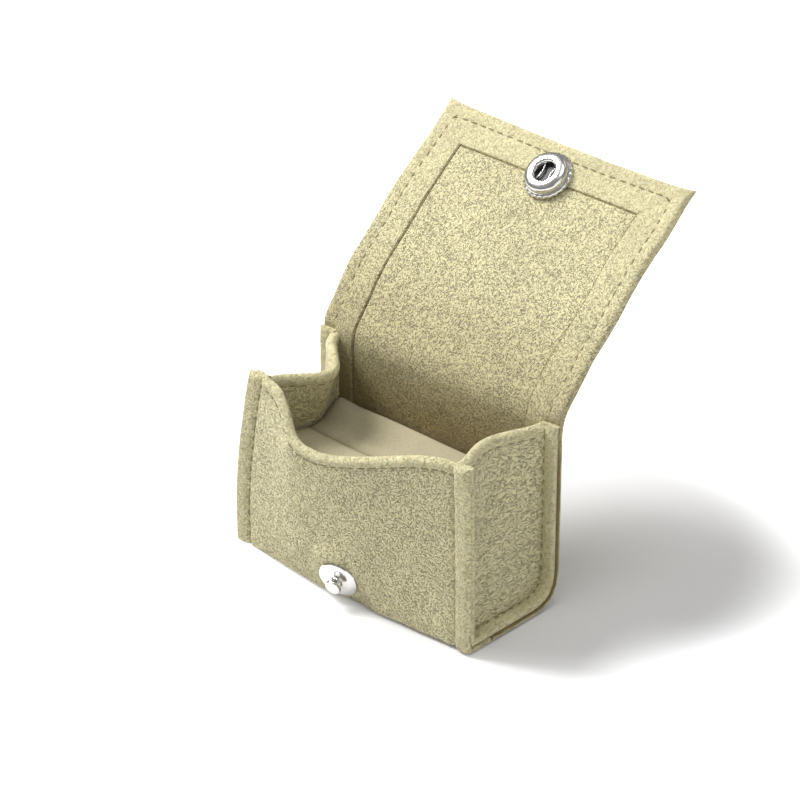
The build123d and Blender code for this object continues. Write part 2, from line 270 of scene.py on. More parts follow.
def stitches(name, line, start, end, seed):
    """A row of stitches; line(t) gives points and normals for lengths t in millimetres."""
    n = max(2, round((end - start) / STITCH))
    t = start + (end - start) * (np.arange(n) + 0.5) / n
    t = t + UNEVEN * STITCH * np.sin(t * 7.7 + seed)
    point, up = line(t)
    ahead = line(t + 0.05)[0] - line(t - 0.05)[0]
    verts, faces = [], []
    for k in range(n):
        x = ahead[k] / np.linalg.norm(ahead[k])
        z = up[k] - x * (up[k] @ x)
        z = z / np.linalg.norm(z)
        y = np.cross(z, x)
        turn = UNEVEN * math.sin(5.1 * k + seed)
        x2, y2 = x * math.cos(turn) + y * math.sin(turn), y * math.cos(turn) - x * math.sin(turn)
        faces += [tuple(i + len(verts) for i in f) for f in SEED_FACES]
        stitch = point[k] + SEED @ np.array([x2, y2, z])
        stitch[:, 2] = np.maximum(stitch[:, 2], 0.0)
        verts += list(stitch * MM)
    mesh = bpy.data.meshes.new(name)
    mesh.from_pydata([tuple(v) for v in verts], [], faces)
    obj = bpy.data.objects.new(name, mesh)
    bpy.context.scene.collection.objects.link(obj)
    smooth(obj, 80)
    return obj


def bead(rim, height):
    """The thick edge of a turned hem, at a distance from its rim."""
    return height * np.exp(-((rim - 1.0) / 0.9) ** 2)


def pucker(distance, length, depth=0.24):
    """How deep a seam pulls the cloth in, at a distance from its line and at a length along it."""
    pull = 0.72 + 0.28 * np.cos(2 * math.pi * length / STITCH)
    return depth * np.exp(-(distance / PUCKER_WIDE) ** 2) * pull

# %% [markdown]
# ## Node helpers
# All finishes are small node trees. `node` makes one node and fills its inputs, each with a plain value
# or with the output that feeds it, so a tree reads like a list of its steps.

# %% Node helpers
def feed(tree, target, inputs):
    """Fills inputs of a node by name or number."""
    for key, value in inputs.items():
        if isinstance(value, bpy.types.NodeSocket):
            tree.links.new(value, target.inputs[key])
        else:
            target.inputs[key].default_value = value
    return target


def node(tree, kind, inputs=None, **settings):
    """A new shader node; its settings come first, because they decide which inputs it has."""
    made = tree.nodes.new("ShaderNode" + kind)
    for key, value in settings.items():
        setattr(made, key, value)
    return feed(tree, made, inputs or {})


def new_material(name):
    mat = bpy.data.materials.new(name)
    mat.use_nodes = True
    return mat, mat.node_tree

# %% [markdown]
# ## Suede and the other fabrics
# Microsuede is a short brushed nap. Up close it shows fine, dark, wrinkled lines where its hairs part,
# and wide paler and darker patches where a hand has passed over it. One node group makes both, so the
# suede, the velvet, the thread and the board share the effect at their own scale.

# %% Nap node group
LINE_LEVEL, LINE_WIDTH = 0.47, 0.052    # the noise value a line follows, and how wide it is
NAP_TURN, NAP_STRETCH = (0.7, 0.55, 0.9), (1.0, 0.45, 1.15)    # radians, and shares


def nap_group():
    """Lines is 0 in a dark line and 1 between them; Cloud is the slow change of the patches."""
    tree = bpy.data.node_groups.new("brushed nap", "ShaderNodeTree")
    for name, value in (("Fleck", 1500.0), ("Patch", 120.0)):
        scale = tree.interface.new_socket(name=name, in_out="INPUT", socket_type="NodeSocketFloat")
        scale.default_value = value
    for name in ("Lines", "Cloud"):
        tree.interface.new_socket(name=name, in_out="OUTPUT", socket_type="NodeSocketFloat")
    given, result = tree.nodes.new("NodeGroupInput"), tree.nodes.new("NodeGroupOutput")
    where = node(tree, "TexCoord").outputs["Object"]
    leaning = node(tree, "Mapping", {"Vector": where, "Rotation": NAP_TURN, "Scale": NAP_STRETCH})
    fleck = node(tree, "TexNoise", {"Vector": leaning.outputs["Vector"], "Scale": given.outputs["Fleck"],
                                    "Detail": 0.8, "Distortion": 0.7})
    above = node(tree, "Math", {0: fleck.outputs["Fac"], 1: LINE_LEVEL}, operation="SUBTRACT")
    away = node(tree, "Math", {0: above.outputs[0]}, operation="ABSOLUTE")
    lines = node(tree, "MapRange", {"Value": away.outputs[0], "From Max": LINE_WIDTH})
    cloud = node(tree, "TexNoise", {"Vector": where, "Scale": given.outputs["Patch"],
                                    "Detail": 2.0, "Distortion": 0.6})
    feed(tree, result, {"Lines": lines.outputs["Result"], "Cloud": cloud.outputs["Fac"]})
    return tree


NAP = nap_group()

# %% [markdown]
# A fabric mixes its two colours by the lines of the nap. The cloths carry two values of their own:
# where a hem is pressed, the lines fade out and the relief is weaker, and deep inside the box, where
# shade is painted, the colour is darker.

# %% Fabric material
# colour multiplied in where shade is painted, deep inside the box
PAINTED_SHADE_TINT = (0.43, 0.365, 0.26, 1)
SHEEN_TINT = (0.93, 0.90, 0.78, 1)
NAP_DEPTH = 0.0003               # metres
PRESSED_BUMP = 0.3               # share of the relief that is left in a pressed hem


def fabric(name, light, dark, fleck, bump, sheen=0.25):
    """A napped material: light between the lines of its nap and dark in them."""
    mat, tree = new_material(name)
    nap = node(tree, "Group", {"Fleck": fleck}, node_tree=NAP)
    pressed = node(tree, "Attribute", attribute_name="pressed").outputs["Fac"]
    painted_shade = node(tree, "Attribute", attribute_name="painted_shade").outputs["Fac"]
    calm = node(tree, "Math", {0: nap.outputs["Lines"], 1: pressed}, operation="MAXIMUM")
    flecks = node(tree, "Mix", {"Factor": calm.outputs[0], "A": (*dark, 1), "B": (*light, 1)},
                  data_type="RGBA")
    tone = node(tree, "MapRange", {"Value": nap.outputs["Cloud"], "From Min": 0.3, "From Max": 0.7,
                                   "To Min": 0.94, "To Max": 1.05})
    patches = node(tree, "VectorMath", {"Vector": flecks.outputs["Result"],
                                        "Scale": tone.outputs["Result"]}, operation="SCALE")
    # painted shade: the colour is darkened inside the box, down towards the cushion
    painted_shade_mix = node(tree, "Mix", {"Factor": painted_shade, "A": patches.outputs["Vector"], "B": PAINTED_SHADE_TINT},
                 data_type="RGBA", blend_type="MULTIPLY")
    force = node(tree, "MapRange", {"Value": pressed, "To Min": bump, "To Max": bump * PRESSED_BUMP})
    relief = node(tree, "Bump", {"Strength": force.outputs["Result"], "Distance": NAP_DEPTH,
                                 "Height": nap.outputs["Lines"]})
    feed(tree, tree.nodes["Principled BSDF"],
         {"Base Color": painted_shade_mix.outputs["Result"], "Normal": relief.outputs["Normal"], "Roughness": 0.92,
          "Specular IOR Level": 0.15, "Sheen Weight": sheen, "Sheen Roughness": 0.5,
          "Sheen Tint": SHEEN_TINT})
    return mat


SUEDE = fabric("suede outside", (0.635, 0.582, 0.35), (0.395, 0.35, 0.195), fleck=2100.0, bump=1.0)
VELVET = fabric("cushion velvet", (0.43, 0.385, 0.255), (0.34, 0.30, 0.195), fleck=3200.0, bump=0.3,
                sheen=0.15)
# the thread is darker than its own beige: partly its colour, partly painted shade of the groove and holes
# it sinks into
THREAD_AND_PAINTED_SHADE = fabric("thread", (0.33, 0.29, 0.17), (0.20, 0.17, 0.09), fleck=6000.0, bump=0.3, sheen=0.0)

# %% [markdown]
# ## Dressing a piece
# Every finished piece gets its material and hides the parts of the frame that it replaces. A piece
# on one body is hung on it; a piece that lies over a fold is only fixed where it stands.

# %% Dress
def dress(obj, mat, body=None, bend=None, stands_for=()):
    """bend is two bodies and the (y, z) where the first ends and the second begins; when it is given the
    piece is only fixed where it stands. Without it the piece rides on one body. stands_for names the nodes
    of the frame that the piece replaces."""
    obj.data.materials.clear()
    obj.data.materials.append(mat)
    if stands_for:
        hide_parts(*stands_for)
    if bend:
        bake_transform(obj)
    else:
        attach(obj, body)


FRONT_BEND = ("box", "front_panel", (FRONT_FOLD[0] + 2.2, 0.0), (FRONT_FOLD[0] - 0.1, 2.6))
SIDE_BEND = ("box", "front_panel", (DEPTH / 2 - 1.7, 0), (1.7 - DEPTH / 2, 0))
LID_BEND = ("box", "lid", (LID_FOLD[0] - 0.6, LID_FOLD[1] - 1.5),
            (LID_FOLD[0] + 0.6, LID_FOLD[1] + 1.5))

# %% [markdown]
# ## The front panel
# The front is a short strip that starts under the box, turns up at the fold and ends in a turned hem.
# The hand that filled the box has pushed it outwards, so it swells, and the hem dips where the cloth is
# slack. The middle surface holds that form, and the two sewn edges stay flat beside it.

# %% Front surface
FRONT_TURN = 0.4                 # radius of the fold under the front, at mid thickness
BELOW = FRONT_TURN + HALF        # height where that fold ends
STUD_SLOPE = (0.2, 0.12)         # how the panel slants under the stud, to the right and upwards
STUD_PAD = (3.2, 8.0)            # radii where that slant begins to fade and where it has gone


def panel_edges(z):
    """Places of the two sewn edges at a height."""
    return -WIDTH / 2 + lean(z, LEAN_LEFT), WIDTH / 2 - lean(z, LEAN_RIGHT)


def swell(u, z):
    """How far the front stands out; u runs from 0 at the left seam to 1 at the right one."""
    rise = 0.42 + 0.58 * (1 - np.exp(-(np.clip(z, 0, None) / 5.6) ** 1.5))
    across = np.sin(math.pi * np.clip(u, 0, 1) ** 0.85) ** 1.5
    crease = 0.75 * np.exp(-((u - 0.26) / 0.075) ** 2) * ease(z, 8, 28)
    return BULGE * across * rise * (0.78 + 0.22 * np.clip(z / 30, 0, 1)) + crease


def front_middle(a, c):
    """Point of the front for a place a across it and c along its strip, drawn down to the hem line."""
    b = c - (HEIGHT - rim_height(a)) * ease(c, 10, HEIGHT)
    turn = np.clip((BELOW - b) / FRONT_TURN, 0, math.pi / 2)
    under = np.clip(BELOW - b - FRONT_TURN * math.pi / 2, 0, None)
    z = np.where(b > BELOW, b, BELOW - FRONT_TURN * np.sin(turn))
    y = -DEPTH / 2 + HALF + np.where(b > BELOW, 0, FRONT_TURN * (1 - np.cos(turn))) + under
    x0, x1 = panel_edges(z)
    u = (a + ROOT) / (2 * ROOT)
    x = (x0 + SEAM) * (1 - u) + (x1 - SEAM) * u
    x = np.where(a < -ROOT, x0 + (a + WIDTH / 2), np.where(a > ROOT, x1 - (WIDTH / 2 - a), x))
    y = y - swell(u, z) * (1 - ease(under, 0, 4)) + 0.06 * wave(x, z, 3.1, 1.7)
    reach = np.hypot(x - SNAP_X, z - STUD_Z)
    slant = STUD_SLOPE[0] * (x - SNAP_X) - STUD_SLOPE[1] * (z - STUD_Z)
    y = y + slant * (1 - ease(reach, *STUD_PAD)) * ease(z, 0.3, 1.5)
    return np.column_stack([x, y, z])


def front_faces(a, c):
    """The hem's bead and stitch line, the groove beside each sewn edge, and the round edges."""
    rim = HEIGHT - c
    side = WIDTH / 2 - np.abs(a)
    fin = ease(np.abs(a), ROOT - 0.5, ROOT + 0.5)
    near = HALF + 0.05 * wave(a, c, 1.3, 0.4)
    near = near - pucker(rim - HEM_SEAM, a) * (1 - fin)
    near = near + bead(rim, 0.22) * (1 - fin)
    near = near - 0.55 * np.exp(-((side - SEAM) / 0.55) ** 2) + 0.18 * fin
    far = HALF * (1 - fin) + 0.2 * fin
    edge = np.minimum(round_edge(rim, 1.1), round_edge(side, 0.8))
    return near * edge, far * edge


def front_pressed(a, c):
    """The hem under the rim and the sewn edges."""
    rim = 1 - ease(HEIGHT - c, *HEM_FADE)
    return 0.32 * np.maximum(rim, ease(np.abs(a), ROOT - 1.0, ROOT))


front_across = ruler(*with_edges(-WIDTH / 2, WIDTH / 2, -ROOT - 0.5, -ROOT, -ROOT + 0.5,
                                 ROOT - 0.5, ROOT, ROOT + 0.5))
front_along = ruler(*with_edges(-4.5, HEIGHT, 0.3, 1.8, HEIGHT - HEM_INNER, HEIGHT - HEM_SEAM, first=False))
front = cloth("front_outside", front_across, front_along, front_middle, front_faces, front_pressed)
dress(front, SUEDE, bend=FRONT_BEND, stands_for=("front_cover", "front_lining"))

# %% [markdown]
# ## The strip: bottom, back and lid
# One strip runs from the fold under the front, round the lower back edge, up the back and into the lid.
# Lengths along it are measured from the lid fold, so the body lies below zero and the lid above it. It
# is cut in two pieces where the lid is stiff, because each piece may bend round one fold only.

# %% Strip path
BACK_TURN = BACK_ROUND - HALF    # radius of the lower back edge, at mid thickness
BACK_RUN = HEIGHT - BACK_ROUND   # straight length from the lid fold down to that edge
FIN_HALF = 0.30                  # the strip's near face at the sewn edges
GROOVE = (-0.4, -0.24, -0.12, 0.02)    # grid lines on the lining, from the inner edge of its hem


def slope_at(s):
    """Angle of the lid above the floor, in radians, at a length from the lid fold."""
    a, b, c = SLOPES
    first = a - (a - b) * s / LID_LENGTH
    second = b - (b - c) * (s - LID_LENGTH) / (FLAP_LENGTH - LID_LENGTH)
    return np.radians(np.where(s < LID_LENGTH, first, second))


def arc_run(s0, s1, t0, t1):
    """(y, z) covered between two lengths while the slope changes evenly from t0 to t1."""
    radius = (s1 - s0) / np.where(np.abs(t0 - t1) < 1e-9, 1e-9, t0 - t1)
    return radius * (np.sin(t0) - np.sin(t1)), radius * (np.cos(t1) - np.cos(t0))


def sharp_path(t):
    """(y, z) at a length t from the lid fold, with a sharp bend at the fold."""
    s = np.clip(t, 1e-6, None)
    lid, rest = np.minimum(s, LID_LENGTH - 1e-6), np.maximum(s, LID_LENGTH + 1e-6)
    y1, z1 = arc_run(0, lid, slope_at(0 * s), slope_at(lid))
    y2, z2 = arc_run(LID_LENGTH, rest, slope_at(0 * s + LID_LENGTH), slope_at(rest))
    up = (LID_FOLD[0] + y1 + y2 * (s > LID_LENGTH), LID_FOLD[1] + z1 + z2 * (s > LID_LENGTH))
    down = np.clip(-t, 0, BACK_RUN)
    turn = np.clip((-t - BACK_RUN) / BACK_TURN, 0, math.pi / 2)
    under = np.clip(-t - BACK_RUN - BACK_TURN * math.pi / 2, 0, None)
    y = LID_FOLD[0] - BACK_TURN * (1 - np.cos(turn)) - under
    z = HEIGHT - down - BACK_TURN * np.sin(turn)
    return np.where(t > 0, up[0], y), np.where(t > 0, up[1], z)


def strip_path(t):
    """The same path with the bend at the lid fold rounded, as thick cloth bends."""
    runs = [sharp_path(t + d) for d in (-2.4, -1.2, 0.0, 1.2, 2.4)]
    return sum(r[0] for r in runs) / 5, sum(r[1] for r in runs) / 5


def strip_middle(a, t):
    """Point of the strip, with the corner ears, the uneven edges and the slight twist of the lid."""
    ear = np.exp(-((WIDTH / 2 - np.abs(a)) + np.clip(FLAP_LENGTH - t, 0, None)) / 2.4)
    dip = 0.35 * ease(t, FLAP_LENGTH - 9, FLAP_LENGTH) * np.cos(math.pi * (a - 4) / WIDTH) ** 2
    length = t + 0.55 * ear - dip
    on_lid = ease(t, 2, 16)
    hem_line = np.exp(-((np.abs(a) - (WIDTH / 2 - HEM)) / 3.0) ** 2) * 0.14 * np.sin(t * 0.24 + a)
    wavy = 0.16 * np.sin(t * 0.3 + 1.5 * np.sign(a))
    right_in = 0.5 * ease(t, 4, 14) + 0.5 * ease(t, 36, FLAP_LENGTH)
    drawn_in = np.where(a > 0, right_in, 0.3 * ease(t, 30, FLAP_LENGTH))
    x = a + np.sign(a) * (0.35 * ear + on_lid * (wavy - drawn_in) * (a / 30) ** 2 + hem_line)
    y, z = strip_path(length)
    slope = np.where(t > 0, slope_at(np.clip(t, 0, None)), math.pi / 2)
    lift = on_lid * (-0.85 * a / 30 + 0.25 * wave(a, t, 9.0, 2.2)) + 0.05 * wave(a, t, 2.6, 0.9)
    return np.column_stack([x, y - lift * np.sin(slope), z + lift * np.cos(slope)])


def inside_hem(a, t):
    """Distance from the turned hem's inner edge: above zero on the lining panel."""
    return np.minimum(np.minimum(a + WIDTH / 2 - HEM, WIDTH / 2 - HEM - a), FLAP_LENGTH - HEM - t)


def strip_faces(a, t):
    """The lining panel sunk inside its hem, the stitch lines and the mitre, and thin sewn edges below."""
    inside = inside_hem(a, t)
    panel = ease(inside, -0.02, 0.12)
    side, end = WIDTH / 2 - np.abs(a), FLAP_LENGTH - t
    near = FLAP_HALF - 0.42 * panel + 0.03 * wave(a, t, 1.1, 3.3)
    near = near - 0.32 * np.exp(-((inside - 0.16) / 0.16) ** 2)
    near = near + 0.16 * np.exp(-((side - 1.2) / 1.2) ** 2) * ease(t, 0, 3)
    fin = ease(np.abs(a), ROOT - 0.4, ROOT + 0.4) * (1 - ease(t, -1.2, 0.8))
    near = near * (1 - fin) + FIN_HALF * fin
    on_lid = ease(t, 0.5, 2.5)
    seam = np.where(side < end, side, end)
    run = np.where(side < end, t, a)
    near = near - on_lid * pucker(seam - LID_SEAM, run, depth=0.2)
    far = FLAP_HALF + 0.04 * wave(a, t, 1.2, 5.1) - on_lid * pucker(seam - LID_SEAM, run, depth=0.18)
    far = far - 0.35 * np.exp(-((side - SEAM) / 0.5) ** 2) * (1 - on_lid)
    mitre = np.abs((a - (WIDTH / 2 - HEM)) - (t - (FLAP_LENGTH - HEM))) / math.sqrt(2)
    near = near - 0.3 * np.exp(-(mitre / 0.25) ** 2) * (a > WIDTH / 2 - HEM) * (t > FLAP_LENGTH - HEM)
    edge = np.minimum(round_edge(side, 0.9), round_edge(end, 1.0))
    return near * edge, far * edge


def strip_pressed(a, t):
    """The turned hem round the lid, and the whole lid a little towards its tip."""
    hem = 1 - ease(inside_hem(a, t), -0.4, 0.2)
    return (0.2 + 0.15 * ease(t, 20, FLAP_LENGTH)) * hem + 0.2 * ease(t, 15, 45)


def strip_painted_shade(a, t):
    """Painted shade, from the lower third of the lid down to the cushion."""
    return 0.35 * (1 - ease(t, 2, 22)) + 0.65 * (1 - ease(t, -13, 1))


MID_LID = LID_LENGTH / 2         # where the strip is cut in two
UNDER_RUN = LID_FOLD[0] - BACK_ROUND + HALF + 6.0    # flat length under the box
STRIP_START = -BACK_RUN - BACK_TURN * math.pi / 2 - UNDER_RUN
hem_lines = [WIDTH / 2 - HEM + d for d in GROOVE]
strip_across = ruler(*with_edges(-WIDTH / 2, WIDTH / 2, -ROOT - 0.4, -ROOT + 0.4,
                                 *(-x for x in hem_lines[::-1]), *hem_lines, ROOT - 0.4, ROOT + 0.4))
body_along = ruler(STRIP_START, -40.0, -34.0, -1.2, 0, 1.2, MID_LID)
back = cloth("back_strip", strip_across, body_along, strip_middle, strip_faces, strip_pressed,
             strip_painted_shade, far_pressed=0.0)
dress(back, SUEDE, bend=LID_BEND,
      stands_for=("base_cover", "base_lining", "lid_cover", "lid_lining"))

flap_along = ruler(*with_edges(MID_LID, FLAP_LENGTH, *(FLAP_LENGTH - HEM + d for d in GROOVE), first=False))
flap = cloth("flap_strip", strip_across, flap_along, strip_middle, strip_faces, strip_pressed,
             strip_painted_shade, far_pressed=0.0)
fold_y, fold_z = (float(v[0]) for v in strip_path(np.array([LID_LENGTH])))
FLAP_BEND = ("lid", "front_flap", (fold_y - 1.2, fold_z - 1.2), (fold_y + 1.2, fold_z + 1.2))
dress(flap, SUEDE, bend=FLAP_BEND, stands_for=("flap_cover", "flap_lining"))

# %% [markdown]
# ## The side panels
# Each side is a soft wall that is tucked inwards at the rim, so that the box can be pressed flat when
# it closes. Its hem is turned and stitched like the front's.

# %% Side panels
def side_rim(side, y):
    """Height of a side's rim: 0.9 mm below the back's, and lower in the middle."""
    half = DEPTH / 2 - 1.0
    return HEIGHT - 0.9 - SIDE_DIP[side] * np.cos(math.pi * np.clip(y, -half, half) / 2 / half) ** 2


def side_middle(side):
    """Middle surface of the left (-1) or right (1) side, for a place a across it and c up it."""
    def middle(a, c):
        y = a * side
        z = c - (HEIGHT - side_rim(side, y)) * ease(c, 14, HEIGHT)
        half = DEPTH / 2 - 2 * HALF
        k = np.clip((y + half) / (2 * half), 0, 1)
        edge = panel_edges(z)[0] + SEAM if side < 0 else panel_edges(z)[1] - SEAM
        root = edge * (1 - k) + side * ROOT * k
        tuck = np.cos(math.pi * np.clip(y, -half, half) / 2 / half) ** 2
        bow = SIDE_BOW[side] * tuck * (np.clip(z - BOW_START, 0, None) / (HEIGHT - BOW_START)) ** 1.4
        x = root - side * (bow + 0.35 + 0.08 * wave(y, z, 2.4, side + 2.5))
        return np.column_stack([x, y, z])
    return middle


def side_faces(a, c):
    """The bead and the stitch line of the hem, on both faces."""
    rim = HEIGHT - c
    near = HALF + 0.05 * wave(a, c, 1.2, 6.1) - pucker(rim - HEM_SEAM, a)
    near = near + bead(rim, 0.25)
    far = HALF + bead(rim, 0.25) - pucker(rim - HEM_SEAM, a)
    edge = round_edge(rim, 1.1)
    return near * edge, far * edge


def side_pressed(a, c):
    return 0.4 * (1 - ease(HEIGHT - c, *HEM_FADE))


SIDE_END = DEPTH / 2 - 1.45      # half the width of a side
SIDE_NAMES = {-1: "left", 1: "right"}
for side, name in SIDE_NAMES.items():
    across = ruler(-SIDE_END, SIDE_END)
    along = ruler(*with_edges(2.4, HEIGHT, HEIGHT - HEM_INNER, HEIGHT - HEM_SEAM, first=False))
    wall = cloth(name + "_side", across, along, side_middle(side), side_faces, side_pressed)
    dress(wall, SUEDE, bend=SIDE_BEND, stands_for=(name + "_gusset", name + "_gusset_lining"))

# %% [markdown]
# ## The second layer of the sewn edges
# The margins of each side panel are turned outwards and sewn flat against the strip. The dark line
# between the two layers shows that the edge is doubled, so the second layer is a piece of its own.

# %% Welts
WELT = 1.25                      # thickness of a turned margin
WELT_END = WIDTH / 2 - 0.15      # it ends just inside the first layer
WELT_GAP = 0.03                  # between the strip and the margin
WELT_SEAM = 0.7                  # from the foot of the sewn edge to its stitches


def welt_back_faces(a, b):
    edge = round_edge(WELT_END - np.abs(a), 0.6)
    near = WELT / 2 + 0.05 * wave(a, b, 1.4, 8.2)
    near = near - 0.3 * np.exp(-((WIDTH / 2 - np.abs(a) - SEAM + WELT_SEAM) / 0.45) ** 2)
    return near * edge, WELT / 2 * edge


def welt_front_faces(a, b):
    return welt_back_faces(a, b)[::-1]


def welt_pressed(a, b):
    return 0 * a + 0.4


def front_welt_middle(side):
    """The margin's middle, behind the sewn edge of the front."""
    def middle(a, c):
        return front_middle(side * np.abs(a), c) + np.array([0, HALF, 0])
    return middle


def welt_across(side):
    marks = with_edges(ROOT - 0.3, WELT_END, first=False)
    return ruler(*marks) if side > 0 else -ruler(*marks)[::-1]


def back_welt_middle(a, t):
    """The margin's middle, on the inner side of the strip."""
    y, z = strip_path(t)
    turn = np.clip((-t - BACK_RUN) / BACK_TURN, 0, math.pi / 2)
    inward = FIN_HALF + WELT / 2 + WELT_GAP
    return np.column_stack([a, y - inward * np.cos(turn), z + inward * np.sin(turn)])


for side, name in SIDE_NAMES.items():
    across = welt_across(side)
    along = ruler(*with_edges(2.0, HEIGHT - 0.4, first=False))
    welt = cloth(name + "_front_welt", across, along, front_welt_middle(side), welt_front_faces,
                 welt_pressed)
    dress(welt, SUEDE, bend=FRONT_BEND)
    along = ruler(STRIP_START - 5.4, -40.0, -34.0, -1.2, -0.6)
    welt = cloth(name + "_back_welt", across, along, back_welt_middle, welt_back_faces, welt_pressed)
    dress(welt, SUEDE, body="box")

# %% [markdown]
# ## Seams
# The same thread runs round the whole box: along the three hems, up the sewn edges and round the lid.
# The hems of the sides and the lid show it on both faces.

# %% Seam lines
THREAD_OUT = 0.02                # the thread's middle stands this far out of the cloth
SEAM_CORNER = 1.6                # radius of the lid seam's corners


def on_cloth(middle, faces, path, far=False):
    """A line on a cloth face for stitches: path(t) gives the place on the flat cloth."""
    def line(t):
        a, b = path(t)
        n = normals_of(middle, a, b)
        near, back_face = faces(a, b)
        if far:
            return middle(a, b) - n * (back_face + THREAD_OUT)[:, None], -n
        return middle(a, b) + n * (near + THREAD_OUT)[:, None], n
    return line


def hem_path(t):
    return t, 0 * t + HEIGHT - HEM_SEAM


front_hem = on_cloth(front_middle, front_faces, hem_path)
row = stitches("front_hem_stitches", front_hem, -ROOT + 1.5, ROOT - 1.0, seed=2)
dress(row, THREAD_AND_PAINTED_SHADE, bend=FRONT_BEND)

for side, name in SIDE_NAMES.items():
    root = side * (ROOT + 0.1)
    line = on_cloth(front_middle, front_faces, lambda t: (0 * t + root, t))
    row = stitches(name + "_front_seam_stitches", line, 1.8, HEIGHT - 1.2, seed=3 + side)
    dress(row, THREAD_AND_PAINTED_SHADE, bend=FRONT_BEND)
    for far, face, seed in ((False, "outside", 5), (True, "inside", 7)):
        line = on_cloth(side_middle(side), side_faces, hem_path, far)
        row_name = f"{name}_side_hem_{face}_stitches"
        row = stitches(row_name, line, -SIDE_END + 1.5, SIDE_END - 1.5, seed=seed + side)
        dress(row, THREAD_AND_PAINTED_SHADE, bend=SIDE_BEND)
    line = on_cloth(back_welt_middle, welt_back_faces, lambda t: (0 * t + side * (ROOT + WELT_SEAM), t))
    row = stitches(name + "_back_seam_stitches", line, STRIP_START - 4.0, -2.5, seed=9 + side)
    dress(row, THREAD_AND_PAINTED_SHADE, body="box")


def flap_seam(far):
    """The line of stitches round the lid, and its length."""
    half = WIDTH / 2 - LID_SEAM
    side_run = FLAP_LENGTH - LID_SEAM - SEAM_CORNER - MID_LID
    tip_run = 2 * (half - SEAM_CORNER)
    arc = SEAM_CORNER * math.pi / 2

    def path(t):
        """Up the left edge, along the tip and down the right, with round corners."""
        q = np.clip((t - side_run) / SEAM_CORNER, 0, math.pi / 2)
        r = np.clip((t - (side_run + arc + tip_run)) / SEAM_CORNER, 0, math.pi / 2)
        a = (-half + SEAM_CORNER * (1 - np.cos(q)) + np.clip(t - (side_run + arc), 0, tip_run)
             + SEAM_CORNER * np.sin(r))
        b = (MID_LID + np.clip(t, 0, side_run) + SEAM_CORNER * np.sin(q)
             - SEAM_CORNER * (1 - np.cos(r)) - np.clip(t - (side_run + 2 * arc + tip_run), 0, None))
        return a, b
    return on_cloth(strip_middle, strip_faces, path, far), 2 * side_run + SEAM_CORNER * math.pi + tip_run


for far, name in ((False, "inside"), (True, "outside")):
    line, total = flap_seam(far)
    row = stitches("flap_" + name + "_stitches", line, 0.3, total - 0.3, seed=11)
    dress(row, THREAD_AND_PAINTED_SHADE, bend=FLAP_BEND)
    for side, side_name in SIDE_NAMES.items():
        edge = side * (WIDTH / 2 - LID_SEAM)
        line = on_cloth(strip_middle, strip_faces, lambda t: (0 * t + edge, t), far)
        row = stitches(f"{side_name}_lid_{name}_stitches", line, 1.0, MID_LID - 0.2, seed=13)
        dress(row, THREAD_AND_PAINTED_SHADE, bend=LID_BEND)

# %% [markdown]
# ## The ring cushion
# Two rolls of foam in velvet lie side by side, and a ring sits in the slot between them. Each roll starts
# as a block, and the ends of the block follow the side panels.

# %% Cushion
CUSHION_EDGE = 1.3               # radius of the rolls' upper edges
CUSHION_CROWN = 0.75             # how far the foam stands above the plain rolls of the frame
CUSHION_CUTS = 40


def cushion(name, solid, low_y, high_y):
    """One roll: a block whose upper edges are rounded and whose ends follow the side panels."""
    deselect()
    lo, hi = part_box(solid)
    bpy.ops.mesh.primitive_cube_add(size=1)
    obj = bpy.context.object
    obj.name = obj.data.name = name
    edit_mesh(bpy.ops.mesh.subdivide, number_cuts=CUSHION_CUTS)
    q = read_points(obj) + 0.5
    top = hi.z / MM + CUSHION_CROWN
    z = lo.z / MM + q[:, 2] * (top - lo.z / MM)
    over = np.clip(z - (top - CUSHION_EDGE), 0, CUSHION_EDGE) / CUSHION_EDGE
    pull = CUSHION_EDGE * (1 - np.sqrt(1 - over ** 2))
    y = (low_y + pull) * (1 - q[:, 1]) + (high_y - pull) * q[:, 1]
    ends = [side_middle(side)(y * side, np.clip(z, 0, HEIGHT))[:, 0] - side * (HALF + 0.12)
            for side in SIDE_NAMES]
    x = (ends[0] + pull) * (1 - q[:, 0]) + (ends[1] - pull) * q[:, 0]
    write_points(obj, np.column_stack([x, y, z]) * MM)
    return obj

# %% [markdown]
# Foam in velvet is never flat. A short cloth simulation with a little air pressure gives the top its
# slack. It runs twenty times as large, because cloth of a few millimetres is unstable, and how far a
# point may move is capped, so the roll stays in its place between the walls.

# %% Stuffing
ENLARGED = 20.0                  # the simulation runs at this scale
VOXEL = 0.012                    # metres at that scale
PUFF_STEPS, PUFF_PRESSURE = 20, 4.0
LARGEST_MOVE = 0.45              # how far the simulation may move a point


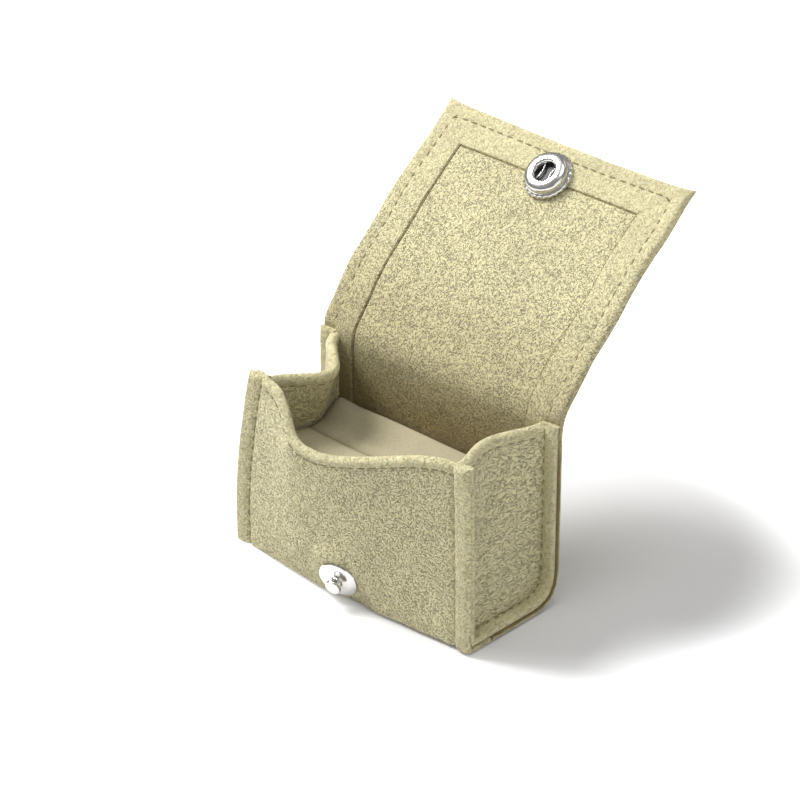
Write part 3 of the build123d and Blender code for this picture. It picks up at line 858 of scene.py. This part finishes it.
def stuff(obj, low_y, high_y):
    """Puffs up the top of a roll between its front and back limits."""
    deselect()
    obj.select_set(True)
    bpy.context.view_layer.objects.active = obj
    write_points(obj, read_points(obj) * ENLARGED)
    remesh = obj.modifiers.new("remesh", "REMESH")
    remesh.mode = "VOXEL"
    remesh.voxel_size = VOXEL
    bpy.ops.object.modifier_apply(modifier="remesh")
    start = read_points(obj)
    air = obj.modifiers.new("air", "CLOTH")
    air.settings.quality = 4
    air.settings.use_pressure = True
    air.settings.uniform_pressure_force = PUFF_PRESSURE
    air.settings.effector_weights.gravity = 0.0
    air.point_cache.frame_end = PUFF_STEPS
    for step in range(1, PUFF_STEPS + 1):
        bpy.context.scene.frame_set(step)
    bpy.ops.object.modifier_apply(modifier="air")
    bpy.context.scene.frame_set(1)
    moved = (read_points(obj) - start) / ENLARGED / MM
    length = np.linalg.norm(moved, axis=1)[:, None]
    moved = moved * np.minimum(1, LARGEST_MOVE / np.maximum(length, 1e-9))
    co = start / ENLARGED / MM
    co = co + moved * ease(co[:, 2], 12, 23)[:, None]
    co[:, 2] = co[:, 2] + 0.12 * wave(co[:, 0], co[:, 1], 4.0, 3.0) * ease(co[:, 2], 20, 24)
    co[:, 1] = np.clip(co[:, 1], low_y, high_y)
    write_points(obj, co * MM)
    smooth(obj, 70)
    print(obj.name, "largest move", round(float(length.max()), 3), "mm")


CUSHION_BACK = DEPTH / 2 - 1.75
CUSHION_SPACE = {"cushion_front": ("cushion_front_roll", 1.8 - DEPTH / 2, -2.03),
                 "cushion_back": ("cushion_back_roll", -1.97, CUSHION_BACK)}
for name, (solid, low_y, high_y) in CUSHION_SPACE.items():
    roll = cushion(name, solid, low_y, high_y)
    stuff(roll, low_y, high_y)
    dress(roll, VELVET, body="box", stands_for=(solid,))
    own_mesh(roll)

# %% [markdown]
# ## The snap
# The parts of the snap are pressed from thin nickel-plated brass, so each is round and soft-edged. Its
# plate is bright and a little dented and cloudy; the nickel deep in the socket is coloured nearly black,
# painted shade.

# %% Metal
def metal(name, colour, rough, dents=0.12):
    mat, tree = new_material(name)
    where = node(tree, "TexCoord").outputs["Object"]
    blotch = node(tree, "TexNoise", {"Vector": where, "Scale": 700.0, "Detail": 3.0}).outputs["Fac"]
    dull = tuple(0.8 * c for c in colour)
    tint = node(tree, "Mix", {"Factor": blotch, "A": (*dull, 1), "B": (*colour, 1)}, data_type="RGBA")
    wear = node(tree, "MapRange", {"Value": blotch, "To Min": rough * 0.7, "To Max": rough * 1.4})
    relief = node(tree, "Bump", {"Height": blotch, "Strength": dents, "Distance": 0.0004})
    feed(tree, tree.nodes["Principled BSDF"],
         {"Metallic": 1.0, "Base Color": tint.outputs["Result"], "Roughness": wear.outputs["Result"],
          "Normal": relief.outputs["Normal"]})
    return mat


NICKEL = metal("nickel plate", (0.68, 0.67, 0.64), 0.18, dents=0.16)
# the socket's floor: nickel coloured nearly black, painted shade
NICKEL_PAINTED_SHADE = metal("nickel in shade", (0.05, 0.05, 0.05), 0.45)
WIRE = metal("spring wire", (0.78, 0.78, 0.78), 0.2)

# %% [markdown]
# A grid wrapped round an axis gives a turned part from its half profile, which is how a die maker would
# draw it. The socket's flange has fine teeth that grip the cloth.

# %% Turned parts
SEGMENTS = 96
TEETH, TEETH_FROM = 24, 4.9      # how many teeth, and the radius where they begin


def turned(name, profile, place, teeth=0.0):
    """A round part from its half profile, (radius, height) from the back of its axis to the front."""
    deselect()
    rings = len(profile) - 1
    bpy.ops.mesh.primitive_grid_add(x_subdivisions=SEGMENTS, y_subdivisions=rings, size=1)
    obj = bpy.context.object
    obj.name = obj.data.name = name
    co = read_points(obj)
    angle = (co[:, 0] + 0.5) * 2 * math.pi
    radius, height = np.array(profile)[np.rint((co[:, 1] + 0.5) * rings).astype(int)].T
    radius = radius - teeth * (radius > TEETH_FROM) * (0.5 + 0.5 * np.cos(TEETH * angle))
    write_points(obj, place(radius * np.cos(angle), radius * np.sin(angle), height) * MM)
    edit_mesh(bpy.ops.mesh.remove_doubles, threshold=1e-7)
    edit_mesh(bpy.ops.mesh.normals_make_consistent, inside=False)
    smooth(obj, 40)
    return obj


def snap_place(offset, way):
    """Axes of the snap on the lid, at an offset from its middle; way is 1 for the lining side and -1
    for the outside."""
    y, z = (float(v[0]) for v in sharp_path(np.array([SNAP_S])))
    t = float(slope_at(np.array([SNAP_S]))[0])
    axis = np.array([0, -math.sin(t), math.cos(t)])
    along = np.array([0, math.cos(t), math.sin(t)])
    origin = np.array([SNAP_X, y, z]) + axis * offset

    def place(u, v, h):
        x = np.array([1.0, 0, 0])
        return origin + np.outer(u, x) + np.outer(v * way, along) + np.outer(h * way, axis)
    return place


SOCKET_PROFILE = [
    (0, -0.5), (5.0, -0.5), (5.1, -0.3), (5.1, 0.25), (4.95, 0.5), (4.6, 0.58), (4.42, 0.75), (4.4, 1.2),
    (4.3, 1.6), (4.02, 1.88), (3.6, 2.02), (3.1, 2.12), (2.6, 2.15), (2.3, 2.05), (2.12, 1.8), (2.1, 0.5),
    (0, 0.45)]
SOCKET_FLOOR = [(0, 0.46), (2.05, 0.46), (2.05, 0.62), (0, 0.64)]
CAP_PROFILE = [(0, -0.25), (5.3, -0.25), (5.4, 0.0), (5.36, 0.3), (5.05, 0.55), (4.2, 0.68), (2.4, 0.7),
               (0, 0.7)]
lining_side = snap_place(FLAP_HALF, 1)
socket_part = turned("snap_socket_shell", SOCKET_PROFILE, lining_side, teeth=0.22)
dress(socket_part, NICKEL, body="front_flap", stands_for=("snap_socket",))
# painted shade: the floor deep in the socket
floor_part = turned("snap_socket_floor", SOCKET_FLOOR, lining_side)
dress(floor_part, NICKEL_PAINTED_SHADE, body="front_flap")
cap_part = turned("snap_cap_dome", CAP_PROFILE, snap_place(-FLAP_HALF, -1))
dress(cap_part, NICKEL, body="front_flap", stands_for=("snap_cap",))

WIRE_RADIUS, WIRE_LENGTH = 0.16, 4.1
WIRE_BOW, WIRE_SPAN = 0.35, 0.78    # how far a wire bows inwards, and the share of its length it spans
WIRE_LEVEL = 1.15                # height in the socket


def spring_bar(name, offset):
    """One of the two bent wires that grip the head, across the socket's opening."""
    deselect()
    bpy.ops.mesh.primitive_cylinder_add(vertices=12, radius=WIRE_RADIUS, depth=WIRE_LENGTH)
    obj = bpy.context.object
    obj.name = obj.data.name = name
    edit_mesh(bpy.ops.mesh.subdivide, number_cuts=6)
    co = read_points(obj)
    bow = WIRE_BOW * np.cos(co[:, 2] / (WIRE_LENGTH / 2) * math.pi / 2)
    x = co[:, 0] + offset - np.sign(offset) * bow
    write_points(obj, lining_side(x, co[:, 2] * WIRE_SPAN, co[:, 1] + WIRE_LEVEL) * MM)
    edit_mesh(bpy.ops.mesh.normals_make_consistent, inside=False)
    smooth(obj, 60)
    return obj


for name, offset in (("snap_spring_left", -1.25), ("snap_spring_right", 1.45)):
    bar = spring_bar(name, offset)
    dress(bar, WIRE, body="front_flap", stands_for=("snap_spring",))

# %% [markdown]
# The stud lies on the swollen front, so it looks a little down and to the right. Its head is the ball
# that the socket's spring grips.

# %% Stud
STUD_TILT, STUD_TURN = math.radians(18), math.radians(14)
STUD_AXIS = np.array([math.sin(STUD_TURN) * math.cos(STUD_TILT),
                      -math.cos(STUD_TURN) * math.cos(STUD_TILT), -math.sin(STUD_TILT)])
STUD_OUT = 0.2                   # from the cloth's face to the middle of the disc's rim


def stud_place(u, v, h):
    """Points of the stud from its own axes: to the right, up and out of the panel."""
    y = float(front_middle(np.array([SNAP_X]), np.array([STUD_Z]))[0, 1]) - HALF - STUD_OUT
    right = np.array([math.cos(STUD_TURN), math.sin(STUD_TURN), 0])
    up = np.cross(right, STUD_AXIS)
    up = up * np.sign(up[2])
    return np.array([SNAP_X, y, STUD_Z]) + np.outer(u, right) + np.outer(v, up) + np.outer(h, STUD_AXIS)


STUD_PROFILE = [
    (0, -0.7), (3.75, -0.5), (3.98, -0.25), (4.05, 0.0), (3.95, 0.2), (3.6, 0.33), (2.4, 0.42),
    (1.6, 0.46), (1.25, 0.62), (1.12, 0.95), (1.15, 1.2), (1.38, 1.45), (1.56, 1.75), (1.6, 2.05),
    (1.48, 2.32), (1.15, 2.48), (0.75, 2.46), (0.45, 2.36), (0, 2.34)]
stud_part = turned("snap_stud_disc", STUD_PROFILE, stud_place)
dress(stud_part, NICKEL, body="front_panel", stands_for=("snap_stud",))

# %% [markdown]
# ## The hidden parts
# The stiffener and the washer keep their plain shapes, and get the finish of grey board and of nickel.

# %% Hidden parts
BOARD = fabric("grey board", (0.45, 0.41, 0.34), (0.33, 0.30, 0.25), fleck=900.0, bump=0.2, sheen=0.0)
for solid, finish in (("bottom_board", BOARD), ("stud_washer", NICKEL)):
    plain = bpy.data.objects[solid]
    plain.data.materials.clear()
    plain.data.materials.append(finish)

# %% [markdown]
# ## Camera
# The camera stands where the photograph was taken. A camera or a lamp is placed by its direction from
# the box: degrees to the right of the front, and degrees above the floor.

# %% Camera
CAMERA_AZIMUTH, CAMERA_HEIGHT, CAMERA_DISTANCE, CAMERA_LENS = 43.2, 28.5, 600.0, 147.3
LOOK_AT = Vector((1.2, 0.0, 37.2)) * MM


def direction(azimuth, height):
    a, e = math.radians(azimuth), math.radians(height)
    return Vector((math.sin(a) * math.cos(e), -math.cos(a) * math.cos(e), math.sin(e)))


def stand(obj, way, offset):
    """Puts a camera or a lamp on its side of the box, looking back at it."""
    obj.location = LOOK_AT + offset
    obj.rotation_mode = "QUATERNION"
    obj.rotation_quaternion = (-way).to_track_quat("-Z", "Y")
    bpy.context.scene.collection.objects.link(obj)


camera = bpy.data.objects.new("camera", bpy.data.cameras.new("camera"))
camera.data.lens = CAMERA_LENS
camera.data.clip_start = 0.01
camera_way = direction(CAMERA_AZIMUTH, CAMERA_HEIGHT)
stand(camera, camera_way, camera_way * CAMERA_DISTANCE * MM)
bpy.context.scene.camera = camera

# %% [markdown]
# ## Floor and room
# The floor keeps the soft shadow near the box, and away from it fades into white for the camera and for
# the reflections in the snap.

# %% Floor and room
FADE_CENTRE = (0.016, 0.026)     # metres, the middle of the part of the floor that keeps its shadow
FADE_START, FADE_END = 0.034, 0.062    # metres from there
FLOOR_GLOW, ROOM_LIGHT = 0.9, 0.36

deselect()
bpy.ops.mesh.primitive_plane_add(size=6, location=(0, 0, -0.0001))
floor = bpy.context.object
floor.name = "floor"
white, tree = new_material("white floor")
ray = node(tree, "LightPath")
seen = node(tree, "Math", {0: ray.outputs["Is Camera Ray"], 1: ray.outputs["Is Glossy Ray"]},
            operation="ADD")
where = node(tree, "TexCoord").outputs["Object"]
shift = node(tree, "Mapping", {"Vector": where, "Location": (-FADE_CENTRE[0], -FADE_CENTRE[1], 0)})
away = node(tree, "VectorMath", {0: shift.outputs["Vector"]}, operation="LENGTH")
fade = node(tree, "MapRange", {"Value": away.outputs["Value"], "From Min": FADE_START,
                               "From Max": FADE_END, "To Min": 0.0, "To Max": FLOOR_GLOW},
            interpolation_type="SMOOTHSTEP")
glow = node(tree, "Math", {0: seen.outputs[0], 1: fade.outputs["Result"]}, operation="MULTIPLY")
feed(tree, tree.nodes["Principled BSDF"],
     {"Base Color": (0.80, 0.80, 0.81, 1), "Roughness": 1.0, "Specular IOR Level": 0.0,
      "Emission Color": (1, 1, 1, 1), "Emission Strength": glow.outputs[0]})
floor.data.materials.append(white)

world = bpy.data.worlds.new("soft room")
bpy.context.scene.world = world
world.use_nodes = True
tree = world.node_tree
ray = node(tree, "LightPath")
level = node(tree, "MapRange", {"Value": ray.outputs["Is Camera Ray"], "To Min": ROOM_LIGHT,
                                "To Max": 1.0})
feed(tree, tree.nodes["Background"], {"Color": (1, 1, 1, 1), "Strength": level.outputs["Result"]})

# %% [markdown]
# ## Light
# Four square lamps, all one metre away. A window at the left does most of the work; a ceiling light, a
# weak light from behind and a low fill light from the right open the shadows.

# %% Light
LAMP_DISTANCE = 1.0
LAMPS = {                        # azimuth, height, size in metres and power in watts
    "window light": (-74, 50, 0.38, 12.4),
    "ceiling light": (30, 84, 0.4, 2.0),
    "back light": (168, 52, 0.45, 0.4),
    "fill light": (70, 18, 0.7, 1.7)}
for name, (azimuth, height, size, power) in LAMPS.items():
    lamp = bpy.data.objects.new(name, bpy.data.lights.new(name, "AREA"))
    lamp.data.size = size
    lamp.data.energy = power
    way = direction(azimuth, height)
    stand(lamp, way, way * LAMP_DISTANCE)
bpy.context.scene.view_settings.view_transform = "Standard"
